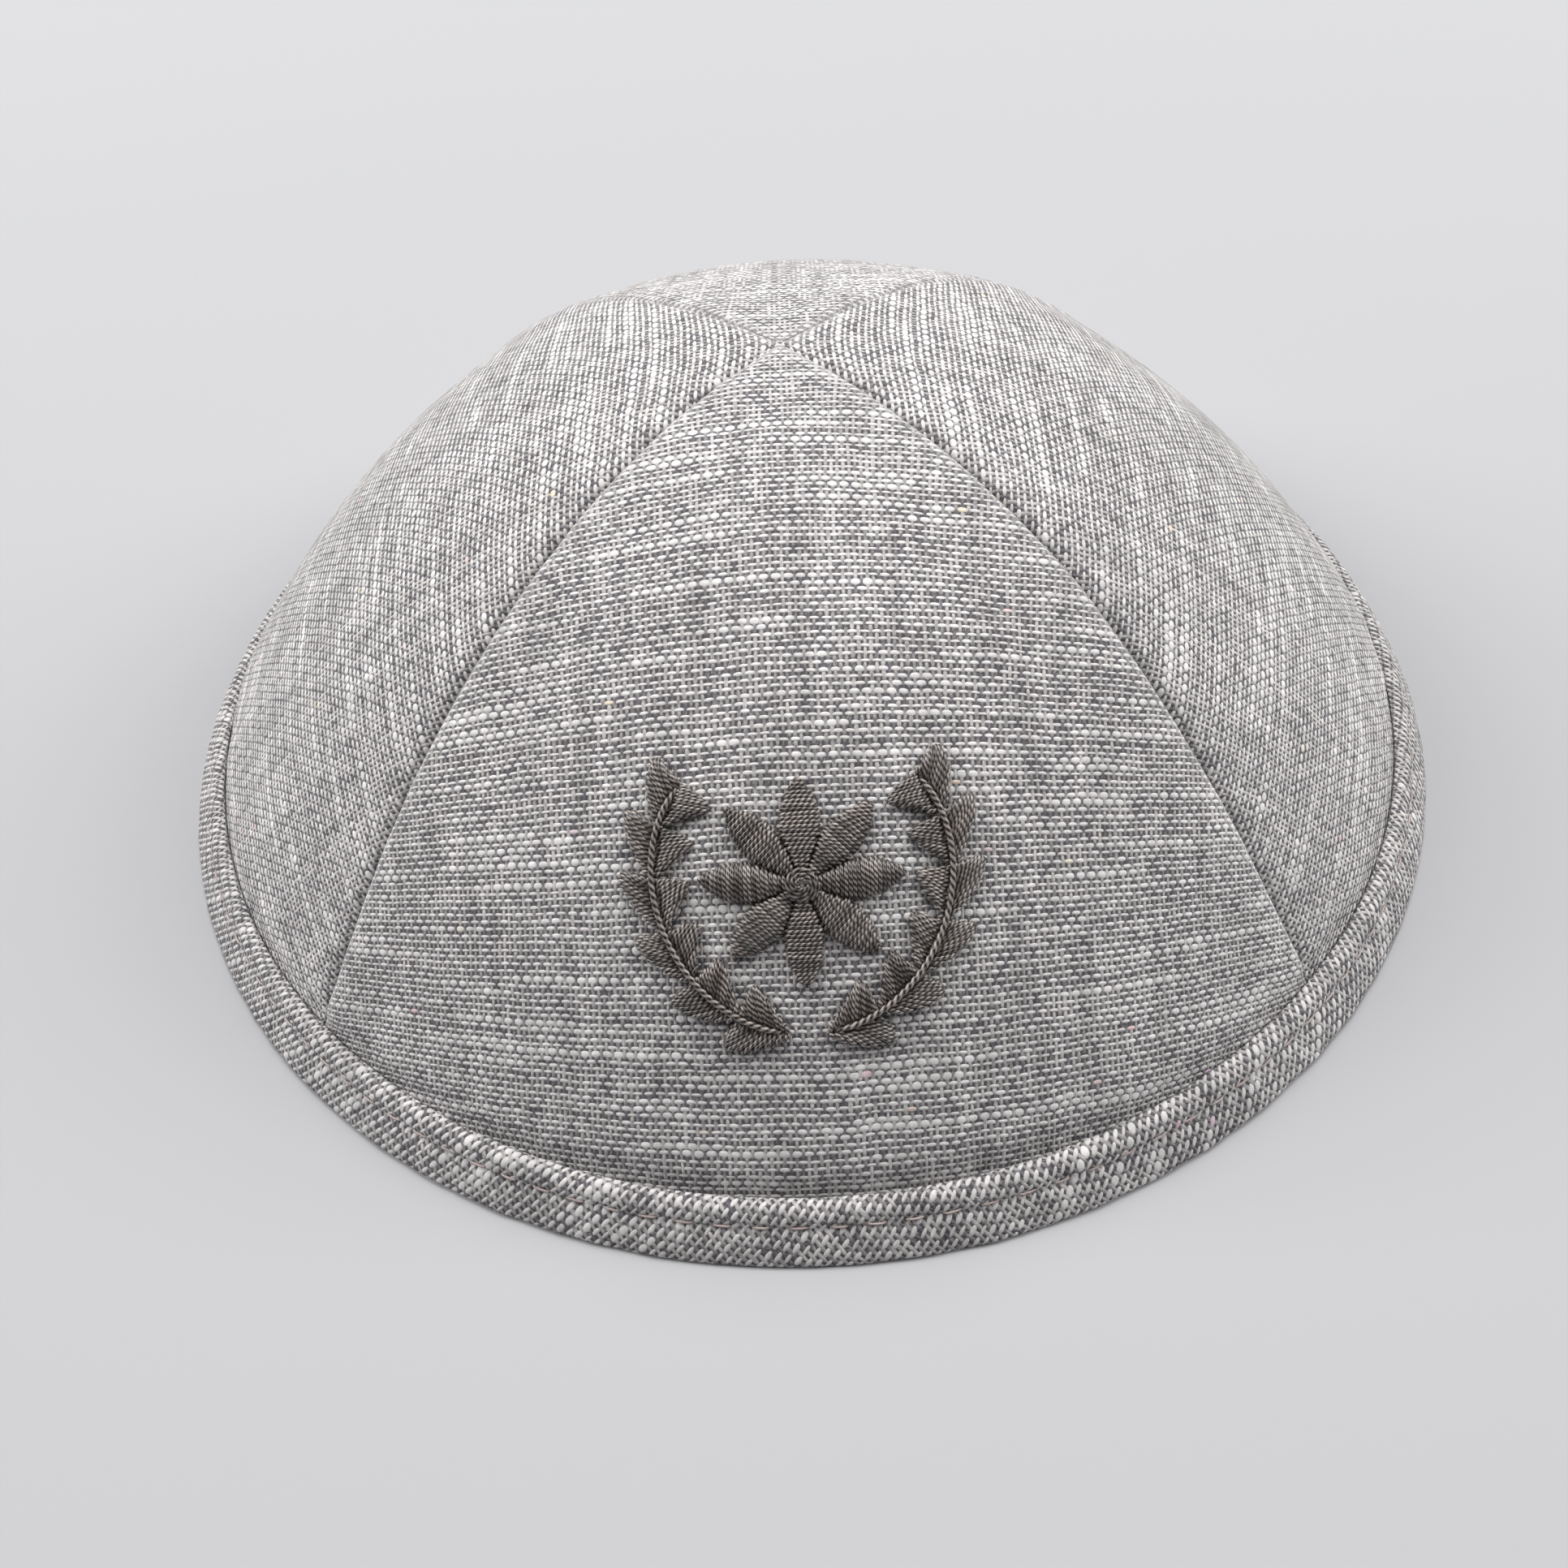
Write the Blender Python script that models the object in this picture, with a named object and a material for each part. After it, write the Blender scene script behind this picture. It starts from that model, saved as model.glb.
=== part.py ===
"""A four-panel linen kippah with a bias-bound rim and an embroidered front panel.

Metres, +Z up. The cap rests on its rim. The origin is on that plane, under the crown, and -Y is the front.
Azimuths are measured from the front, towards +X.
"""

from math import asin, atan2, cos, hypot, log, pi, radians, sin, sqrt

import bmesh
import bpy

# The crown, measured over the outer faces of its panels
RIM_LENGTH = 0.1584  # front to back at the rim: the soft rim lies slightly oval
RIM_WIDTH = 0.1536  # side to side at the rim
CROWN_HEIGHT = 0.0498  # from the plane it rests on to the crossing of the seams
RIM_LEAN = radians(35.9)  # the lower wall's lean from upright
TOP_FLATNESS = 0.477  # share of the rim's radius that the top runs out before it turns down
WALL_STRAIGHTNESS = 0.415  # share of the rim's radius that the lower wall runs before it turns in
TOP_SQUARENESS = 0.37  # how far the four panels square the crown: 0 is round, 1 is a square
WAIST_SQUARENESS = -0.032  # the same, half-way down, where the panels swell between their seams

# The four panels
PANEL_WALL = 0.0012  # shell cloth and its interlining
SEAM_AZIMUTH = radians(44)  # the front and back panels reach this far each side of their middle
SEAM_GAP = 0.0003  # left between two panels where the thread joins them
SEAM_ROLL = 0.0011  # width of the rounded edge beside a seam
SEAM_DIP = 0.00035  # how far a rounded edge sinks at its seam
TIP_RADIUS = 0.001  # where the panels' points stop short of the crossing
PANEL_COLUMNS = 20
PANEL_ROWS = 9  # above the stretch that dips under the binding

# The binding, a strip cut on the bias and folded over the rim
BINDING_HEIGHT = 0.0047  # upright height of the visible band
BINDING_STAND = 0.0009  # how far the band stands out over the panels
BINDING_LEG = 0.00125  # the outer leg's thickness
BINDING_INNER_LEG = 0.001
BINDING_INNER_HEIGHT = 0.0053
BINDING_FOLD = 0.0011  # thickness of the fold that lies on the table
BINDING_SEGMENTS = 72
TUCKED_WALL = 0.001  # a panel's wall where the binding presses it
TUCK_RISE = 0.0022  # height over which a panel dips before it goes under the band
CLOTH_GAP = 0.0003  # clearance between the binding and what it holds

# The outer face of the band: (share of its height, share of its stand), with the seam pressed into it
BAND_FACE = (
    (0.00, 0.72),
    (0.12, 0.98),
    (0.33, 1.14),
    (0.54, 0.98),
    (0.68, 0.62),
    (0.74, 0.70),
    (0.86, 1.00),
    (0.96, 0.86),
    (1.00, 0.40),
)

# The embroidery on the front panel, laid out flat about the rosette's middle
EMBROIDERY_DROP = 0.0613  # from the crossing of the seams down the cloth to the rosette's middle
EMBROIDERY_LIFT = 0.0003  # clearance over the cloth
EMBROIDERY_EDGE = 0.0003  # thickness of a pad's edge
EMBROIDERY_CROWN = 0.00095  # thickness of a pad at its ridge
ROSETTE_RADIUS = 0.0098  # to the points of the petals
ROSETTE_NOTCH = 0.0046  # to the notches between them
PETALS = 8
SPRIG_RADIUS = 0.0140  # from the rosette's middle to a sprig's stem
SPRIG_START = radians(7)  # from straight below the rosette round to the first leaf
SPRIG_TURN = radians(122)  # from the first leaf round to the last
STEM_HALF_WIDTH = 0.0004
LEAF_REACH = 0.0030  # from the stem out to a leaf's point
LEAF_LEAN = 0.0022  # how far a leaf's point leads its root along the stem
LEAF_PAIRS = 6

CLOTH_COLOUR = (0.46, 0.47, 0.48, 1.0)
BINDING_COLOUR = (0.38, 0.39, 0.41, 1.0)
THREAD_COLOUR = (0.075, 0.06, 0.055, 1.0)

RIM_RADIUS = (RIM_LENGTH + RIM_WIDTH) / 4
RIM_OVAL = (RIM_LENGTH - RIM_WIDTH) / (RIM_LENGTH + RIM_WIDTH)
MEAN_SECANT = 4 / pi * log(1 + sqrt(2))  # of the angles from 0 to 45 degrees
TUCK_LIFT = BINDING_STAND - BINDING_LEG - CLOTH_GAP  # of a panel's outer face inside the binding


def clear_scene():
    for item in list(bpy.data.objects):
        bpy.data.objects.remove(item)


def make_material(name, colour, roughness):
    material = bpy.data.materials.new(name)
    material.use_nodes = True
    shader = material.node_tree.nodes["Principled BSDF"]
    shader.inputs["Base Color"].default_value = colour
    shader.inputs["Roughness"].default_value = roughness
    shader.inputs["Metallic"].default_value = 0.0
    return material


def make_object(name, bm, material):
    """Turns a closed bmesh into a named object with a smooth finish."""
    bmesh.ops.recalc_face_normals(bm, faces=bm.faces)
    if bm.calc_volume(signed=True) < 0:
        bmesh.ops.reverse_faces(bm, faces=bm.faces)
    mesh = bpy.data.meshes.new(name)
    bm.to_mesh(mesh)
    bm.free()
    mesh.shade_smooth()
    mesh.set_sharp_from_angle(angle=radians(50))
    mesh.materials.append(material)
    item = bpy.data.objects.new(name, mesh)
    bpy.context.scene.collection.objects.link(item)
    return item


def seam_share(azimuth):
    """How near an azimuth is to a seam: 0 at a panel's middle and 1 at its seams."""
    turn = abs((azimuth + pi) % (2 * pi) - pi)
    from_end = min(turn, pi - turn)
    if from_end <= SEAM_AZIMUTH:
        return from_end / SEAM_AZIMUTH
    return (pi / 2 - from_end) / (pi / 2 - SEAM_AZIMUTH)


def meridian(azimuth, share):
    """Radius and height of the crown's outer face, from the crossing (0) to the rim (1)."""
    points = (
        (0.0, CROWN_HEIGHT),
        (TOP_FLATNESS * RIM_RADIUS, CROWN_HEIGHT),
        (
            RIM_RADIUS - WALL_STRAIGHTNESS * RIM_RADIUS * sin(RIM_LEAN),
            WALL_STRAIGHTNESS * RIM_RADIUS * cos(RIM_LEAN),
        ),
        (RIM_RADIUS, 0.0),
    )
    rest = 1 - share
    weights = (rest**3, 3 * rest**2 * share, 3 * rest * share**2, share**3)
    radius = sum(w * p[0] for w, p in zip(weights, points))
    height = sum(w * p[1] for w, p in zip(weights, points))
    square = 1 / cos(seam_share(azimuth) * pi / 4) / MEAN_SECANT
    amount = TOP_SQUARENESS * rest**2 + 2 * WAIST_SQUARENESS * share * rest
    oval = 1 + share**2 * RIM_OVAL * cos(2 * azimuth)
    return radius * (1 - amount + amount * square) * oval, height


def lifted(azimuth, share, lift):
    """Radius and height of a point that stands off the crown's outer face by lift."""
    step = 1e-4
    radius, height = meridian(azimuth, share)
    before = meridian(azimuth, share - step)
    after = meridian(azimuth, share + step)
    run = after[0] - before[0]
    fall = before[1] - after[1]
    length = hypot(run, fall)
    return radius + lift * fall / length, height + lift * run / length


def crown_point(azimuth, share, lift):
    radius, height = lifted(azimuth, share, lift)
    return radius * sin(azimuth), -radius * cos(azimuth), height


def share_at_height(azimuth, height, lift):
    """The share of the meridian where a point near the rim, standing off by lift, has a height."""
    above, below = 0.7, 1.2
    for _ in range(40):
        middle = (above + below) / 2
        if lifted(azimuth, middle, lift)[1] > height:
            above = middle
        else:
            below = middle
    return above


def rim_point(azimuth, height, lift):
    """A point near the rim, given by its height over the table and its lift off the crown's face."""
    x, y, _ = crown_point(azimuth, share_at_height(azimuth, height, lift), lift)
    return x, y, height


def share_at_drop(drop):
    """The share of the front meridian that lies a length of cloth down from the crossing."""
    steps = 400
    travelled = 0.0
    last = meridian(0.0, 0.0)
    for i in range(1, steps + 1):
        here = meridian(0.0, i / steps)
        piece = hypot(here[0] - last[0], here[1] - last[1])
        if travelled + piece >= drop:
            return (i - 1 + (drop - travelled) / piece) / steps
        travelled += piece
        last = here
    return 1.0


def flat_slab(columns, rows):
    """A closed slab of two grids, with x = column, y = row and z = 0 inside or 1 outside."""
    bm = bmesh.new()
    bmesh.ops.create_grid(bm, x_segments=columns, y_segments=rows, size=0.5)
    for vert in bm.verts:
        vert.co.x = round((vert.co.x + 0.5) * columns)
        vert.co.y = round((vert.co.y + 0.5) * rows)
    top = bmesh.ops.extrude_face_region(bm, geom=list(bm.faces))["geom"]
    for vert in top:
        if isinstance(vert, bmesh.types.BMVert):
            vert.co.z = 1.0
    return bm


def panel_column(column, middle, half_angle, seam_radius):
    """Azimuth and dip of one column of a panel, with two columns in each rounded edge."""
    side = -1 if column < PANEL_COLUMNS / 2 else 1
    from_edge = min(column, PANEL_COLUMNS - column)
    edge = half_angle - asin(SEAM_GAP / 2 / seam_radius)
    roll = min(SEAM_ROLL / seam_radius, 0.3 * edge)
    if from_edge == 0:
        return middle + side * edge, SEAM_DIP
    if from_edge == 1:
        return middle + side * (edge - 0.35 * roll), SEAM_DIP * 0.3
    even = (from_edge - 2) / (PANEL_COLUMNS / 2 - 2)
    return middle + side * (edge - roll) * (1 - even), 0.0


def make_panel(name, middle, half_angle, material):
    """A wall of cloth from the crossing down into the binding, dipping where the binding presses it."""
    foot = BINDING_FOLD + CLOTH_GAP
    # (height over the table, share of the dip) for the rows near the rim
    low_rows = (
        (BINDING_HEIGHT + TUCK_RISE, 0.0),
        (BINDING_HEIGHT + 0.5 * TUCK_RISE, 0.45),
        (BINDING_HEIGHT, 1.0),
        ((BINDING_HEIGHT + foot) / 2, 1.0),
        (foot, 1.0),
    )
    seam = middle + half_angle
    tip_share = TIP_RADIUS / (3 * TOP_FLATNESS * RIM_RADIUS)
    dip_share = share_at_height(seam, low_rows[0][0], 0.0)
    bm = flat_slab(PANEL_COLUMNS, PANEL_ROWS + len(low_rows) - 1)
    for vert in bm.verts:
        column, row, outside = vert.co
        if row < PANEL_ROWS:
            share = tip_share + (dip_share - tip_share) * row / PANEL_ROWS
            azimuth, dip = panel_column(column, middle, half_angle, meridian(seam, share)[0])
            vert.co = crown_point(azimuth, share, -dip if outside else -PANEL_WALL)
        else:
            height, tucked = low_rows[int(row) - PANEL_ROWS]
            lift = TUCK_LIFT * tucked
            if not outside:
                lift -= PANEL_WALL + (TUCKED_WALL - PANEL_WALL) * tucked
            near_share = share_at_height(seam, height, lift)
            azimuth, dip = panel_column(column, middle, half_angle, lifted(seam, near_share, lift)[0])
            if outside:
                lift -= dip * (1 - tucked)
            vert.co = rim_point(azimuth, height, lift)
    return make_object(name, bm, material)


def binding_section():
    """The folded strip's section as (height, lift) pairs, from the fold up the outer leg and down inside."""
    channel_outer = BINDING_STAND - BINDING_LEG
    channel_inner = TUCK_LIFT - TUCKED_WALL - CLOTH_GAP
    inner_face = channel_inner - BINDING_INNER_LEG
    rounding = BINDING_INNER_LEG / 4
    section = [(BINDING_HEIGHT * up, BINDING_STAND * out) for up, out in BAND_FACE]
    section.append((BINDING_HEIGHT - rounding, channel_outer))
    section.append((BINDING_FOLD, channel_outer))
    section.append((BINDING_FOLD, channel_inner))
    section.append((BINDING_INNER_HEIGHT - rounding, channel_inner))
    section.append((BINDING_INNER_HEIGHT, channel_inner - rounding))
    section.append((BINDING_INNER_HEIGHT, inner_face + rounding))
    section.append((BINDING_INNER_HEIGHT - 2 * rounding, inner_face))
    section.append((2 * rounding, inner_face))
    section.append((0.0, inner_face + rounding))
    return section


def make_binding(material):
    """Lays a flat grid round the rim, one row for each point of the section, and joins its edges."""
    section = binding_section()
    bm = bmesh.new()
    bmesh.ops.create_grid(bm, x_segments=BINDING_SEGMENTS, y_segments=len(section), size=0.5)
    for vert in bm.verts:
        column = round((vert.co.x + 0.5) * BINDING_SEGMENTS) % BINDING_SEGMENTS
        row = round((vert.co.y + 0.5) * len(section)) % len(section)
        vert.co = rim_point(2 * pi * column / BINDING_SEGMENTS, *section[row])
    bmesh.ops.remove_doubles(bm, verts=bm.verts, dist=1e-6)
    return make_object("rim_binding", bm, material)


def embroidery_point(across, up, lift):
    """Lays a point of the flat embroidery on the front panel."""
    share = share_at_drop(EMBROIDERY_DROP - up)
    azimuth = across / meridian(0.0, share)[0]
    return crown_point(azimuth, share, EMBROIDERY_LIFT + lift)


def make_rosette(material):
    """Eight pointed petals that meet in the middle, domed above and flat on the cloth."""
    bm = bmesh.new()
    bmesh.ops.create_uvsphere(bm, u_segments=6 * PETALS, v_segments=8, radius=1.0)
    for vert in bm.verts:
        turn = atan2(vert.co.y, vert.co.x)
        petal = 2 * pi / PETALS
        off = abs((turn + petal / 2) % petal - petal / 2) / (petal / 2)
        reach = ROSETTE_NOTCH + (ROSETTE_RADIUS - ROSETTE_NOTCH) * max(0.0, 1 - off) ** 0.75
        out = reach * hypot(vert.co.x, vert.co.y)
        rise = vert.co.z
        lift = 0.0 if rise < -0.01 else EMBROIDERY_EDGE + (EMBROIDERY_CROWN - EMBROIDERY_EDGE) * rise
        vert.co = embroidery_point(out * cos(turn), out * sin(turn), lift)
    return make_object("embroidery_rosette", bm, material)


def make_sprig(name, side, material):
    """A stem round one side of the rosette, with pairs of leaves that point along it."""
    steps = 5 * LEAF_PAIRS
    bm = flat_slab(steps, 4)
    for vert in bm.verts:
        along = vert.co.x / steps
        across = vert.co.y / 2 - 1
        leaf = sin(pi * ((vert.co.x / 5) % 1.0))
        radius = SPRIG_RADIUS + across * (STEM_HALF_WIDTH + LEAF_REACH * leaf)
        lead = LEAF_LEAN / SPRIG_RADIUS * abs(across) * leaf
        turn = SPRIG_START + SPRIG_TURN * along + lead
        ridge = EMBROIDERY_EDGE + (EMBROIDERY_CROWN - EMBROIDERY_EDGE) * (1 - across**2)
        lift = ridge if vert.co.z > 0.5 else 0.0
        vert.co = embroidery_point(side * radius * sin(turn), -radius * cos(turn), lift)
    return make_object(name, bm, material)


def main():
    clear_scene()
    cloth = make_material("linen_shell", CLOTH_COLOUR, 0.95)
    binding = make_material("bias_binding", BINDING_COLOUR, 0.95)
    thread = make_material("embroidery_thread", THREAD_COLOUR, 0.5)
    side_half = pi / 2 - SEAM_AZIMUTH
    make_panel("panel_front", 0.0, SEAM_AZIMUTH, cloth)
    make_panel("panel_right", pi / 2, side_half, cloth)
    make_panel("panel_back", pi, SEAM_AZIMUTH, cloth)
    make_panel("panel_left", -pi / 2, side_half, cloth)
    make_binding(binding)
    make_rosette(thread)
    make_sprig("embroidery_sprig_right", 1, thread)
    make_sprig("embroidery_sprig_left", -1, thread)


main()
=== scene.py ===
import random
from math import asin, atan2, ceil, cos, exp, hypot, log, pi, radians, sin, sinh, sqrt
import bmesh
import bpy
from mathutils import Matrix, Vector, noise


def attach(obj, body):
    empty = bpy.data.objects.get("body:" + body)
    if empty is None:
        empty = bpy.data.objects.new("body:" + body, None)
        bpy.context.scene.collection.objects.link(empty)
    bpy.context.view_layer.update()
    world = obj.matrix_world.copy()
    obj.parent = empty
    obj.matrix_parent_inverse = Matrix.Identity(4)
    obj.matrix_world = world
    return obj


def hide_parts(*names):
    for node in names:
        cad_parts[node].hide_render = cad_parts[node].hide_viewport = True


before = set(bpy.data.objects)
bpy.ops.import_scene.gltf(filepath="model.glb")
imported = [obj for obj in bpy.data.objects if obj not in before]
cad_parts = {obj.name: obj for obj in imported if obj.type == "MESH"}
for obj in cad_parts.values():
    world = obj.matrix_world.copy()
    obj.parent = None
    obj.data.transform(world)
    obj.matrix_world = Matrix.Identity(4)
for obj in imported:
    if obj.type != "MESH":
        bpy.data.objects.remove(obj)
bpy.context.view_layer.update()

random.seed(7)
mm = 0.001
print("frame loaded:", len(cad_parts), "nodes")

# The crown's form, in the same sizes as the frame's solids. Azimuths run from the front towards +X.
crown = {
    "rimLength": 158.4 * mm,
    "rimWidth": 153.6 * mm,
    "height": 49.8 * mm,
    "rimLean": radians(35.9),  # of the lower wall, from upright
    "topFlatness": 0.477,
    "wallStraightness": 0.415,
    "topSquareness": 0.37,
    "waistSquareness": -0.032,
    "seamAzimuth": radians(44),
}
crown["radius"] = (crown["rimLength"] + crown["rimWidth"]) / 4
crown["oval"] = (crown["rimLength"] - crown["rimWidth"]) / (crown["rimLength"] + crown["rimWidth"])
meanSecant = 4 / pi * log(1 + sqrt(2))  # of the angles from 0 to 45 degrees


def seamShare(azimuth):
    turn = abs((azimuth + pi) % (2 * pi) - pi)
    fromEnd = min(turn, pi - turn)
    if fromEnd <= crown["seamAzimuth"]:
        return fromEnd / crown["seamAzimuth"]
    return (pi / 2 - fromEnd) / (pi / 2 - crown["seamAzimuth"])


def meridian(azimuth, share):
    # radius and height of the cloth's outer face, from the crossing (0) to the rim (1)
    size = crown["radius"]
    run = crown["wallStraightness"] * size
    rest = 1 - share
    weights = (rest ** 3, 3 * rest ** 2 * share, 3 * rest * share ** 2, share ** 3)
    out = (0, crown["topFlatness"] * size, size - run * sin(crown["rimLean"]), size)
    up = (crown["height"], crown["height"], run * cos(crown["rimLean"]), 0)
    radius = sum(w * p for w, p in zip(weights, out))
    square = 1 / cos(seamShare(azimuth) * pi / 4) / meanSecant
    amount = crown["topSquareness"] * rest ** 2 + 2 * crown["waistSquareness"] * share * rest
    oval = 1 + share ** 2 * crown["oval"] * cos(2 * azimuth)
    return radius * (1 - amount + amount * square) * oval, sum(w * p for w, p in zip(weights, up))


def lifted(azimuth, share, lift):
    step = 1e-4
    radius, height = meridian(azimuth, share)
    before = meridian(azimuth, share - step)
    after = meridian(azimuth, share + step)
    run = after[0] - before[0]
    fall = before[1] - after[1]
    length = hypot(run, fall)
    return radius + lift * fall / length, height + lift * run / length


def crownPoint(azimuth, share, lift):
    radius, height = lifted(azimuth, share, lift)
    return Vector((radius * sin(azimuth), -radius * cos(azimuth), height))


def shareAtHeight(azimuth, height, lift):
    above, below = 0.7, 1.2
    for _ in range(26):
        middle = (above + below) / 2
        if lifted(azimuth, middle, lift)[1] > height:
            above = middle
        else:
            below = middle
    return above


arcSteps = 800
arcEnd = 1.05  # the tables run a little past the rim


def arcTable(azimuth):
    # cloth length from the crossing to each share
    table = [0.0]
    last = meridian(azimuth, 0)
    for i in range(1, arcSteps + 1):
        here = meridian(azimuth, arcEnd * i / arcSteps)
        table.append(table[-1] + hypot(here[0] - last[0], here[1] - last[1]))
        last = here
    return table


frontArc = arcTable(0)


def shareAtDrop(drop, table=frontArc):
    low, high = 0, len(table) - 1
    while high - low > 1:
        middle = (low + high) // 2
        if table[middle] > drop:
            high = middle
        else:
            low = middle
    part = (drop - table[low]) / (table[high] - table[low])
    return (low + part) / arcSteps * arcEnd


def wander(point, size, seed=0.0):
    # smooth noise between about -1 and 1, whose lumps measure size
    return noise.noise(Vector((point[0] / size, point[1] / size, point[2] / size + seed)))


def finishPiece(name, bm, material, replaced):
    bmesh.ops.recalc_face_normals(bm, faces=bm.faces)
    if bm.calc_volume(signed=True) < 0:
        bmesh.ops.reverse_faces(bm, faces=bm.faces)
    mesh = bpy.data.meshes.new(name)
    bm.to_mesh(mesh)
    bm.free()
    mesh.shade_smooth()
    mesh.materials.append(material)
    piece = bpy.data.objects.new(name, mesh)
    bpy.context.scene.collection.objects.link(piece)
    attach(piece, "root")
    if replaced:
        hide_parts(*replaced)
    return piece


# Materials

def linearColour(code):
    channels = [int(code[i:i + 2], 16) / 255 for i in (1, 3, 5)]
    return [c / 12.92 if c <= 0.04045 else ((c + 0.055) / 1.055) ** 2.4 for c in channels] + [1.0]


def addNode(tree, kind, *inputs, output=0, named=None, **settings):
    # inputs go in by place: a socket is linked, None is left, anything else is set
    node = tree.nodes.new("ShaderNode" + kind)
    for key, value in settings.items():
        setattr(node, key, value)
    for key, value in [*enumerate(inputs), *(named or {}).items()]:
        if value is None:
            continue
        if isinstance(value, bpy.types.NodeSocket):
            tree.links.new(value, node.inputs[key])
        else:
            node.inputs[key].default_value = value
    return node.outputs[output]


def newMaterial(name, finish):
    material = bpy.data.materials.new(name)
    material.use_nodes = True
    tree = material.node_tree
    shader = tree.nodes["Principled BSDF"]
    for socket, value in finish.items():
        shader.inputs[socket].default_value = value
    return material, tree, shader


# Plain weave: coarse pale picks across each panel over finer melange ends
weave = {
    "end": 0.577 * mm,
    "pick": 0.733 * mm,
    "waver": 0.5 * mm,  # how far the threads stray
    "waverLength": 4.76 * mm,
    "floatHalf": 0.41,  # share of the space of two ends
    "pickHalf": 0.225,  # share of a pick's space, with what a slub and chance add
    "slubGain": 0.23,
    "pickChance": 0.1,
    "endHalf": 0.29,  # share of an end's space
    "endChance": 0.1,
    "fibreSlant": radians(62),
    "fibreLength": 0.6667 * mm,
    "fibreWidth": 0.1053 * mm,  # real fibres are finer: this is as fine as the render can show
    # painted shade in the gaps between the threads
    "gapShadeColour": "#5f5a5b",
    # the ends' own melange of greys, set darker than the picks partly as painted shade for the ends lying
    # lower
    "endColours": ("#77757b", "#dedad8"),
    "pickColours": ("#f0ecea", "#fcf9f7"),
    "slubColour": "#faf7f5",
    "fibreColour": "#efebe9",
    # painted highlight along the folded edges at the seams
    "foldHighlightColour": "#d6d3d2",
    "relief": 0.18 * mm,
    "finish": {
        "Roughness": 0.86,
        "Specular IOR Level": 0.2,
        "Sheen Weight": 0.08,
        "Sheen Roughness": 0.45,
    },
}


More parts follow.
